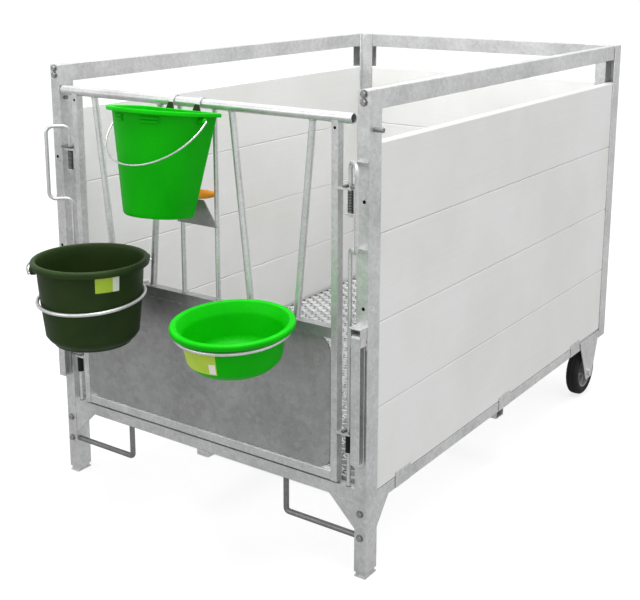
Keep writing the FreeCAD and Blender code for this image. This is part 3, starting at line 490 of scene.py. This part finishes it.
# sheet-metal parts: copies of CAD nodes with their edges rounded -----------------------------
ROUNDED = {
    0.0035: ("post_front_left", "post_front_right", "post_rear_left", "post_rear_right",
             "top_rail_left", "top_rail_right", "top_rail_rear", "base_rail_left",
             "base_rail_right", "base_rail_rear", "leg_left", "leg_right", "front_sill",
             "bearer_long", "bearer_cross", "gate_bottom_rail", "lifting_arm_left",
             "lifting_arm_right"),
    0.0012: ("gate_panel_rail", "gate_upright_left", "gate_upright_right", "gussets",
             "wheel_bracket_left", "wheel_bracket_right", "rod_catches", "gate_eyes",
             "handle_brackets", "bucket_rest", "plank_clips"),
}
OWN_FINISH = {
    "panel_steel": ("gate_sheet", "bucket_rest", "gate_panel_rail"),
    "dull_steel": ("brace_left", "brace_right", "coupling_pins", "rod_catches"),
    "bar_steel": ("drop_rod_left", "drop_rod_right", "bucket_ring", "bowl_ring", "gate_eyes",
                  "gate_top_tube", "gate_head_bars", "gate_bucket_bars"),
}


def finish_of(node):
    """The finish of a node: its slot's own, or a variety of it."""
    for finish, members in OWN_FINISH.items():
        if node in members:
            return finish
    return SLOT_OF[node]


def round_edges(node, width):
    work = bmesh.new()
    work.from_mesh(NODES[node].data)
    bmesh.ops.remove_doubles(work, verts=work.verts, dist=1e-5)
    bmesh.ops.dissolve_limit(work, angle_limit=math.radians(1), verts=work.verts,
                             edges=work.edges)
    add(node + "_formed", work, finish_of(node), BODY_OF[node], (node,),
        bevel=width)


# walls and floor ----------------------------------------------------------------------------
def plank_wall(node, run):
    """Four planks with bevelled edges, built solid where the real ones are hollow, so that a V seam
    shows at each joint.
    """
    low, high = corners(node)
    across = 1 - run
    half = (high[across] - low[across]) / 2
    centre = (high[across] + low[across]) / 2
    pitch = (high.z - low.z + 0.0006) / 4
    chamfer = 0.0026
    work = bmesh.new()
    for tier in range(4):
        bottom = low.z + tier * pitch
        top = bottom + pitch - 0.0004
        outline = []
        for sign, levels in ((1, (bottom, top)), (-1, (top, bottom))):
            step = sign * chamfer
            away = ((half - chamfer, levels[0]), (half, levels[0] + step),
                    (half, levels[1] - step), (half - chamfer, levels[1]))
            outline += [(centre + sign * offset, level) for offset, level in away]
        ends = []
        for spot in (low[run], high[run]):
            ring = []
            for offset, level in outline:
                point = Vector((0, 0, level))
                point[run] = spot
                point[across] = offset
                ring.append(work.verts.new(point))
            work.faces.new(ring)
            ends.append(ring)
        bridge(work, ends)
    add(node + "_boards", work, "white_plank", "frame", (node,))


def strand(work, start, end, width, low, high):
    """One strand of expanded metal: a strip that leans, so its edge catches the light."""
    along = (end - start).normalized()
    side = Vector((-along.y, along.x, 0)) * width / 2
    lean = Vector((0, 0.0034, 0))
    ends = []
    for spot in (start, end):
        ends.append([work.verts.new(spot + offset + Vector((0, 0, level)) + tilt)
                     for offset, level, tilt in ((-side, low, -lean), (side, low, -lean),
                                                 (side, high, lean), (-side, high, lean))])
    bridge(work, ends)
    cap(work, ends)


def floor_grating():
    """A welded edge frame filled with diamond expanded metal."""
    low, high = corners("floor_grating")
    edge = 0.010
    work = bmesh.new()
    for a, b in (((low.x, low.y), (high.x, low.y + edge)), ((low.x, high.y - edge), (high.x, high.y)),
                 ((low.x, low.y + edge), (low.x + edge, high.y - edge)),
                 ((high.x - edge, low.y + edge), (high.x, high.y - edge))):
        block(work, Vector((*a, low.z)), Vector((*b, high.z)))
    inside_low = Vector((low.x + edge / 2, low.y + edge / 2, 0))
    inside_high = Vector((high.x - edge / 2, high.y - edge / 2, 0))
    across = round((inside_high.x - inside_low.x) / 0.030)
    rows = round((inside_high.y - inside_low.y) / 0.040)
    half_long = (inside_high.x - inside_low.x) / across
    pitch = (inside_high.y - inside_low.y) / rows
    for row in range(rows):
        base = inside_low.y + (row + 0.5) * pitch
        for column in range(across):
            rise = 0.5 * pitch
            first, second = (0.0, rise) if column % 2 == 0 else (rise, 0.0)
            for sign in (1, -1):
                start = Vector((inside_low.x + column * half_long, base + sign * first, 0))
                end = Vector((inside_low.x + (column + 1) * half_long, base + sign * second, 0))
                strand(work, start, end, 0.0066, low.z + 0.001, high.z - 0.001)
    add("floor_mesh", work, "floor_steel", "frame", ("floor_grating",), sharp=25)


# small hardware -----------------------------------------------------------------------------
def hex_bolt(work, origin, along, radius=0.0085, height=0.0078):
    """A washer and a chamfered hexagon head."""
    washer = 0.0012
    lathe(work, ((0, 0), (radius * 1.25, 0), (radius * 1.25, washer), (0, washer)), origin,
          along, 32)
    side, up = frame_of(along)
    rings = []
    for share, level in ((1, washer), (1, height * 0.85), (0.86, height)):
        rings.append([work.verts.new(origin + along * level + radius * share
                                     * (side * math.cos(a) + up * math.sin(a)))
                      for a in (math.pi * s / 3 + 0.3 for s in range(6))])
    bridge(work, rings)
    cap(work, rings)


def post_hardware():
    """Bolts, dark discs painted as the shade in bolt holes, and stop straps on the front posts."""
    bolts = bmesh.new()
    holes = bmesh.new()
    straps = bmesh.new()
    for side, sign in SIDES:
        low, high = corners(f"post_front_{side}")
        across = (low.x + high.x) / 2
        for level in (high.z - 0.009, high.z - 0.029, 0.116, 0.185):
            hex_bolt(bolts, Vector((across, low.y, level)), -Y)
        hex_bolt(bolts, Vector((across + sign * 0.009, low.y - 0.0025, 0.664)), -Y, 0.0065)
        # painted shade: flat dark discs stand for the shade inside bolt holes
        for level in (0.746, 1.02):
            lathe(holes, ((0, 0), (0.0048, 0), (0.0048, 0.0003), (0, 0.0003)),
                  Vector((across + sign * 0.004, low.y, level)), -Y, 24)
        for level in (1.115, 0.896):
            block(straps, Vector((across - 0.016, low.y - 0.0024, level - 0.005)),
                  Vector((across + 0.014, low.y + 0.0005, level + 0.005)))
    add("post_bolts", bolts, "bolt_steel", "frame", ("frame_bolts",),
        sharp=25)
    add("post_hole_shade_discs", holes, "hole_shadow", "frame")
    add("stop_straps", straps, "zinc_plated_steel", "frame", bevel=0.0006)


def spring(side):
    """A coil between the cross pin of the drop rod and the upper eye, made fixed in place; the real
    one shortens with the rod.
    """
    low, high = corners(f"spring_{side}")
    centre = (low + high) / 2
    turns = 15
    wire = 0.0013
    radius = (high.x - low.x) / 2 - wire
    steps = turns * 16
    points = []
    for step in range(steps + 1):
        angle = 2 * math.pi * turns * step / steps
        rise = low.z + wire + (high.z - low.z - 2 * wire) * step / steps
        points.append(Vector((centre.x + radius * math.cos(angle),
                              centre.y + radius * math.sin(angle), rise)))
    work = bmesh.new()
    tube(work, points, wire, 8)
    piece = add(f"spring_{side}_coil", work, "dark_spring_steel", None, (f"spring_{side}",))
    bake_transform(piece)


def weld_ring(work, centre, along, radius, thick, seed):
    """A lumpy bead round a bar."""
    chance = random.Random(seed)
    side, up = frame_of(along)
    steps = 28
    points = []
    for step in range(steps + 1):
        angle = 2 * math.pi * step / steps
        lump = radius + thick * 0.25 * math.sin(angle * 7 + seed) + thick * 0.15 * chance.random()
        points.append(centre + lump * (side * math.cos(angle) + up * math.sin(angle)))
    points[-1] = points[0]
    tube(work, points, thick, 8, ends=False)


def gate_welds():
    """Beads where the gate's bars meet its rails, and short stitches along the sheet."""
    rail_low, rail_high = corners("gate_panel_rail")
    tube_low, tube_high = corners("gate_top_tube")
    bars_low, bars_high = corners("gate_head_bars")
    line = (bars_low.y + bars_high.y) / 2
    shift = 10
    bar_rise = 0.542
    work = bmesh.new()
    seed = 1
    # millimetres from the middle of the front to the top and the foot of each slanted bar
    for top, foot in ((-388, -327), (-128, -178), (124, 182), (387, 334)):
        lean = Vector(((top - foot) * MM, 0, bar_rise)).normalized()
        at_foot = Vector(((foot - shift) * MM, line, rail_high.z + 0.0012))
        at_top = Vector(((top - shift) * MM - lean.x * 0.014, line, tube_low.z + 0.0005))
        weld_ring(work, at_foot, lean, 0.0098, 0.0018, seed)
        weld_ring(work, at_top, lean, 0.0095, 0.0016, seed + 1)
        seed += 2
    for across in (-68, 56):
        weld_ring(work, Vector((across * MM, line, rail_high.z + 0.001)), Z, 0.0068, 0.0015, seed)
        seed += 1
    low, high = corners("gate_sheet")
    chance = random.Random(7)
    for level in (high.z - 0.001, low.z + 0.001):
        spot = low.x + 0.06
        while spot < high.x - 0.06:
            length = 0.009 + 0.004 * chance.random()
            tube(work, [Vector((spot, low.y - 0.0004, level)),
                        Vector((spot + length / 2, low.y - 0.0012, level)),
                        Vector((spot + length, low.y - 0.0004, level))], 0.0016, 8)
            spot += 0.026
    add("gate_welds", work, "weld_bead", "gate")
    # painted shade: flat dark discs stand for the shade inside vent holes in the uprights
    vent_shade_discs = bmesh.new()
    for side, sign in SIDES:
        low, high = corners(f"gate_upright_{side}")
        lathe(vent_shade_discs, ((0, 0), (0.004, 0), (0.004, 0.0003), (0, 0.0003)),
              Vector(((low.x + high.x) / 2, low.y, tube_low.z - 0.012)), -Y, 20)
    add("gate_vent_shade_discs", vent_shade_discs, "hole_shadow", "gate")


# wheels -------------------------------------------------------------------------------------
def wheel(side, sign):
    low, high = corners(f"tyre_{side}")
    centre = (low + high) / 2
    inner = low.x if sign > 0 else high.x
    origin = Vector((inner, centre.y, centre.z))
    along = X * sign
    outline = filleted(((61.2, 2, 0), (66, 2, 1), (68, 0.5, 1), (72, 0, 1), (80, 0, 6), (89, 7, 5),
                        (90, 14, 1), (87.4, 15, 0.6), (87.4, 18, 0.6), (90, 19, 0.6),
                        (90, 26, 0.6), (87.4, 27, 0.6), (87.4, 30, 0.6), (90, 31, 1),
                        (89, 38, 5), (80, 45, 6), (72, 45, 1), (68, 44.5, 1), (66, 43, 1),
                        (61.2, 43, 0)))
    work = bmesh.new()
    lathe(work, outline, origin, along, 128, closed=True)
    add(f"tyre_{side}_moulded", work, "black_rubber_tyre", f"wheel_{side}", (f"tyre_{side}",))
    work = bmesh.new()
    outline = filleted(((10.2, 4, 0), (19, 4, 2), (20, 8, 2), (22, 14, 3), (52, 16, 3),
                        (55, 3, 2), (61, 3, 0), (61, 42, 0), (55, 42, 2), (52, 30, 3),
                        (22, 30, 3), (20, 38, 2), (19, 42, 2), (10.2, 42, 0)))
    lathe(work, outline, origin, along, 96, closed=True)
    for rib in range(6):
        angle = math.pi * rib / 3
        out = Y * math.cos(angle) + Z * math.sin(angle)
        across = along.cross(out) * 0.0025
        for start, end in ((6, 15), (31, 40)):
            ring = []
            for reach in (0.019, 0.054):
                for offset, depth in ((-across, start), (across, start), (across, end),
                                      (-across, end)):
                    ring.append(work.verts.new(origin + out * reach + offset
                                               + along * depth * MM))
            for face in ((0, 1, 2, 3), (4, 5, 6, 7), (0, 1, 5, 4), (1, 2, 6, 5), (2, 3, 7, 6),
                         (3, 0, 4, 7)):
                work.faces.new([ring[i] for i in face])
    add(f"hub_{side}_moulded", work, "grey_hub", f"wheel_{side}", (f"hub_{side}",))


# buckets and bowl ---------------------------------------------------------------------------
def label(name, body, centre, bottom, radius_low, radius_high, height, start, end, low, high,
          finish, slot, lean=None, lift_more=0.0):
    """A thin patch that follows the wall of a round vessel between two angles and levels."""
    work = bmesh.new()
    steps = 12
    rows = []
    for lift in (0.0004 + lift_more, 0.0009 + lift_more):
        grid = []
        for level in (low, high):
            radius = (radius_low + (radius_high - radius_low) * level / height) * MM + lift
            spots = []
            for step in range(steps + 1):
                angle = math.radians(start + (end - start) * step / steps)
                spots.append(work.verts.new(Vector((centre.x + radius * math.cos(angle),
                                                    centre.y + radius * math.sin(angle),
                                                    bottom + level * MM))))
            grid.append(spots)
        rows.append(grid)
    for grid in rows:
        for step in range(steps):
            work.faces.new((grid[0][step], grid[0][step + 1], grid[1][step + 1], grid[1][step]))
    for step in range(steps):
        for level in (0, 1):
            work.faces.new((rows[0][level][step], rows[0][level][step + 1],
                            rows[1][level][step + 1], rows[1][level][step]))
    for step in (0, steps):
        work.faces.new((rows[0][0][step], rows[0][1][step], rows[1][1][step], rows[1][0][step]))
    if lean:
        work.transform(lean)
    add(name, work, finish, body)


def feed_bucket():
    low, high = corners("feed_bucket")
    bail_low, bail_high = corners("feed_bucket_bail")
    turn = math.radians(60)
    centre = Vector(((low.x + high.x) / 2, (low.y + high.y) / 2, low.z))
    outline = filleted(((0, 4, 0), (97, 4, 1), (99, 0, 1), (106, 0, 2), (110, 7, 3),
                        (128, 22, 16), (130.5, 48, 20), (141, 140, 60), (146, 217, 4),
                        (147, 222, 1), (156.5, 224, 2), (158.6, 221, 0.8), (161.6, 221, 0.8),
                        (162, 234, 4), (158, 239, 3), (149, 239, 3), (145.5, 232, 5),
                        (143, 214, 8), (138, 140, 60), (127, 48, 20), (123, 22, 14),
                        (104, 9, 8), (0, 9, 0)), 6)
    work = bmesh.new()
    lathe(work, outline, centre, Z, 160)
    out = Vector((math.cos(turn), math.sin(turn), 0))
    for sign in (1, -1):
        base = centre + Z * 0.220 + out * sign * 0.150
        lathe(work, filleted(((0, 0, 0), (13, 0, 0), (11.5, 12, 2), (9, 15, 2), (0, 15, 0))), base,
              out * sign, 32)
    add("feed_bucket_moulded", work, "dark_green_plastic", "feed_bucket", ("feed_bucket",))
    level = (bail_low.z + bail_high.z) / 2
    hub = Vector((centre.x, centre.y, level))
    behind = Z.cross(out)
    line = arc(hub, out * 0.170, behind * 0.170, 0, 180, 72)
    work = bmesh.new()
    tube(work, line, 0.0024, 12)
    for sign in (1, -1):
        eye = hub + out * sign * 0.1685 + Z * 0.0005
        loop = arc(eye, -behind * 0.008, Z * 0.009, 0, 330, 24)
        tube(work, loop, 0.0023, 10)
    add("feed_bucket_bail_wire", work, "zinc_plated_steel", "feed_bucket_bail",
        ("feed_bucket_bail",))
    facts = ("feed_bucket", centre, low.z, 127.5, 147.6, 239)
    label("feed_bucket_label", *facts, -39, -20, 176, 217, "label_lime", "dark_green_plastic")
    label("feed_bucket_label_strip", *facts, -20, -12.5, 176, 217, "label_white",
          "dark_green_plastic")


def feed_bowl():
    """The bowl leans towards the front, because its ring droops."""
    low, high = corners("feed_bowl")
    droop = math.radians(4)
    up = Vector((0, -math.sin(droop), math.cos(droop)))
    rim = Vector(((low.x + high.x) / 2, (low.y + high.y) / 2, high.z - 0.160 * math.sin(droop)))
    centre = rim - up * 0.115
    outline = filleted(((0, 4, 0), (92, 4, 1), (95, 0, 1), (101, 0, 2), (106, 5, 4),
                        (121, 17, 10), (132.5, 86, 4), (137, 99, 4), (144, 104, 2),
                        (155.5, 105, 1), (156.4, 101, 0.6), (159.4, 101, 0.8), (160, 110, 3),
                        (157, 115, 2.6), (153, 115, 1.2), (150.5, 113.6, 1), (147, 113.6, 1),
                        (145.5, 115, 0.8), (143, 114, 1.6), (135.5, 99, 5), (129.5, 86, 5),
                        (118, 17, 13), (103, 8, 7), (0, 8, 0)), 6)
    work = bmesh.new()
    lathe(work, outline, centre, up, 160)
    add("feed_bowl_moulded", work, "bright_green_plastic", "feed_bowl", ("feed_bowl",))
    lean = Matrix.Translation(centre) @ Matrix.Rotation(droop, 4, "X") @ Matrix.Translation(-centre)
    facts = ("feed_bowl", centre, centre.z, 118.1, 137.0, 115)
    label("feed_bowl_label", *facts, -138, -71, 22, 80, "label_lime", "bright_green_plastic",
          lean)
    label("feed_bowl_label_strip", *facts, -80, -72, 25, 52, "label_white",
          "bright_green_plastic", lean, 0.0006)


def d_loop(centre, half, back, corner):
    """A level outline: half-round in front, straight sides and rounded rear corners."""
    spots = arc(Vector((0, 0, 0)), X * half, -Y * half, 0, 180, 64)
    for sign in (-1, 1):
        corner_centre = Vector((sign * (half - corner), back - corner, 0))
        start, end = (180, 90) if sign < 0 else (90, 0)
        spots += arc(corner_centre, X * corner, Y * corner, start, end, 8)
    return [centre + spot for spot in spots]


class LeaningBucket:
    """Places on the teat bucket, which leans forward about the gate's top tube."""

    def __init__(self):
        bail_low, bail_high = corners("teat_bucket_bail")
        self.pivot = middle("gate_top_tube")
        self.pivot.x = (bail_low.x + bail_high.x) / 2
        self.foot = self.pivot + Vector((0, -0.0915, -0.3045))
        self.lean = (Matrix.Translation(self.pivot) @ Matrix.Rotation(math.radians(-7.4), 4, "X")
                     @ Matrix.Translation(-self.pivot))

    def body(self):
        levels = ((4, 72, 46), (0, 77, 50), (0, 83, 54), (3, 87, 56.5), (9, 89.5, 58),
                  (130, 109, 64.5), (256, 130, 71), (274, 133, 71.6), (275, 145, 72),
                  (273.4, 146.4, 72.4), (273.4, 148, 72.5), (280, 148.4, 72.5), (283, 147.2, 72.5),
                  (284, 145, 72.4), (283.6, 136, 68.5), (282, 132, 67), (270, 129, 66.5),
                  (130, 106, 61.5), (12, 86.5, 55), (8, 83, 52), (7, 70, 44))
        work = bmesh.new()
        loops = []
        for level, half, back in levels:
            spots = d_loop(self.foot + Z * level * MM, half * MM, back * MM, 0.014)
            loops.append([work.verts.new(spot) for spot in spots])
        bridge(work, loops)
        cap(work, loops)
        for sign in (1, -1):
            base = self.foot + Vector((sign * 0.126, 0, 0.2625))
            lathe(work, filleted(((0, 0, 0), (11, 0, 0), (9.5, 20, 2), (7, 23.5, 2),
                                  (0, 23.5, 0))), base, X * sign, 32)
        for start, end in ((-72, -52), (-112, -98)):
            for drop in (0, 0.010):
                radius = 0.1318 - drop * 0.17
                spots = arc(self.foot + Z * (0.2635 - drop), X * radius, Y * radius, start, end, 16)
                tube(work, spots, 0.0045, 10)
        work.transform(self.lean)
        add("teat_bucket_moulded", work, "bright_green_plastic", "teat_bucket", ("teat_bucket",))

    def hooks(self):
        """Two steel straps over the tube, each behind a tapered tab on the rim, moulded in the
        bucket's own green but given dark green as painted shade.
        """
        low, high = corners("teat_bucket_hooks")
        tube_low, tube_high = corners("gate_top_tube")
        half_wide = 0.008
        half_thick = 0.0009
        front = -0.0168
        rear = (tube_high.z - tube_low.z) / 2 + 0.0038
        # places ahead of and above the tube's middle line, over the tube and down behind it
        line = [(front, -0.030), (front, -0.008), (front + 0.0005, 0.004)]
        for degrees in range(20, 150, 10):
            angle = math.radians(degrees)
            line.append((math.cos(angle) * -0.0158, 0.0005 + math.sin(angle) * 0.0152))
        line += [(rear, 0.004), (rear, -0.011)]
        tab_outline = ((-0.015, -0.022), (0.015, -0.022), (0.007, -0.003), (-0.007, -0.003))
        straps = bmesh.new()
        shaded_tabs = bmesh.new()
        for across in (low.x + 0.015, high.x - 0.015):
            hub = Vector((across, self.pivot.y, self.pivot.z))
            rings = []
            for index, (ahead, up) in enumerate(line):
                before = line[max(index - 1, 0)]
                after = line[min(index + 1, len(line) - 1)]
                along = Vector((0, after[0] - before[0], after[1] - before[1])).normalized()
                out = along.cross(X) * -half_thick
                spot = hub + Vector((0, ahead, up))
                rings.append([straps.verts.new(spot + X * side * half_wide + out * face)
                              for side, face in ((-1, -1), (1, -1), (1, 1), (-1, 1))])
            bridge(straps, rings)
            cap(straps, rings)
            faces = [[shaded_tabs.verts.new(hub + Vector((side, depth, up))) for side, up in tab_outline]
                     for depth in (-0.0205, -0.0178)]
            bridge(shaded_tabs, faces)
            cap(shaded_tabs, faces)
        for work in (straps, shaded_tabs):
            work.transform(self.lean)
        add("teat_bucket_straps", straps, "bar_steel", "teat_bucket")
        # painted shade: each tab takes the dark green as the shade on the bucket's bright green
        add("teat_bucket_shaded_tabs", shaded_tabs, "dark_green_plastic", "teat_bucket",
            ("teat_bucket_hooks",), bevel=0.0008)

    def bail(self):
        hub = self.lean @ (self.foot + Z * 0.2625)
        half = 0.153
        droop = math.radians(38)
        forward = Vector((0, -math.cos(droop), -math.sin(droop)))
        line = [hub - X * 0.146, hub - X * (half - 0.002), hub - X * half + forward * 0.003,
                hub - X * half + forward * 0.022]
        line += arc(hub + forward * 0.022, -X * half, forward * half, 0, 180, 64)[1:]
        line += [hub + X * half + forward * 0.003, hub + X * (half - 0.002), hub + X * 0.146]
        work = bmesh.new()
        tube(work, line, 0.0024, 12)
        add("teat_bucket_bail_wire", work, "zinc_plated_steel", "teat_bucket_bail",
            ("teat_bucket_bail",))

    def teat(self):
        slope = math.atan(14.8 / 284.1)
        low, high = corners("teat")
        origin = Vector(((low.x + high.x) / 2, self.pivot.y - 0.0305, self.pivot.z - 0.242))
        along = Vector((0, math.cos(slope), -math.sin(slope)))
        outline = filleted(((0, -1, 0), (16.8, -1, 1), (16.8, 4, 1.5), (12.4, 7, 1), (12, 20, 1),
                            (13, 28, 2), (12.4, 54, 4), (9.4, 78, 6), (6.4, 89, 3), (2, 90, 1),
                            (1.4, 87, 0.5), (0, 86, 0)), 5)
        work = bmesh.new()
        lathe(work, outline, origin, along, 48)
        work.transform(self.lean)
        add("teat_moulded", work, "orange_rubber", "teat_bucket", ("teat",))


# making -------------------------------------------------------------------------------------
bpy.context.scene.view_settings.view_transform = "Standard"
make_camera()
make_studio()
FINISHES = make_finishes()
for node, piece in NODES.items():
    for socket in piece.material_slots:
        socket.material = FINISHES[finish_of(node)].made
for width, members in ROUNDED.items():
    for node in members:
        round_edges(node, width)
plank_wall("wall_left", 1)
plank_wall("wall_right", 1)
plank_wall("wall_rear", 0)
floor_grating()
post_hardware()
gate_welds()
spring("left")
spring("right")
for side, sign in SIDES:
    wheel(side, sign)
feed_bucket()
feed_bowl()
milk = LeaningBucket()
milk.body()
milk.hooks()
milk.bail()
milk.teat()
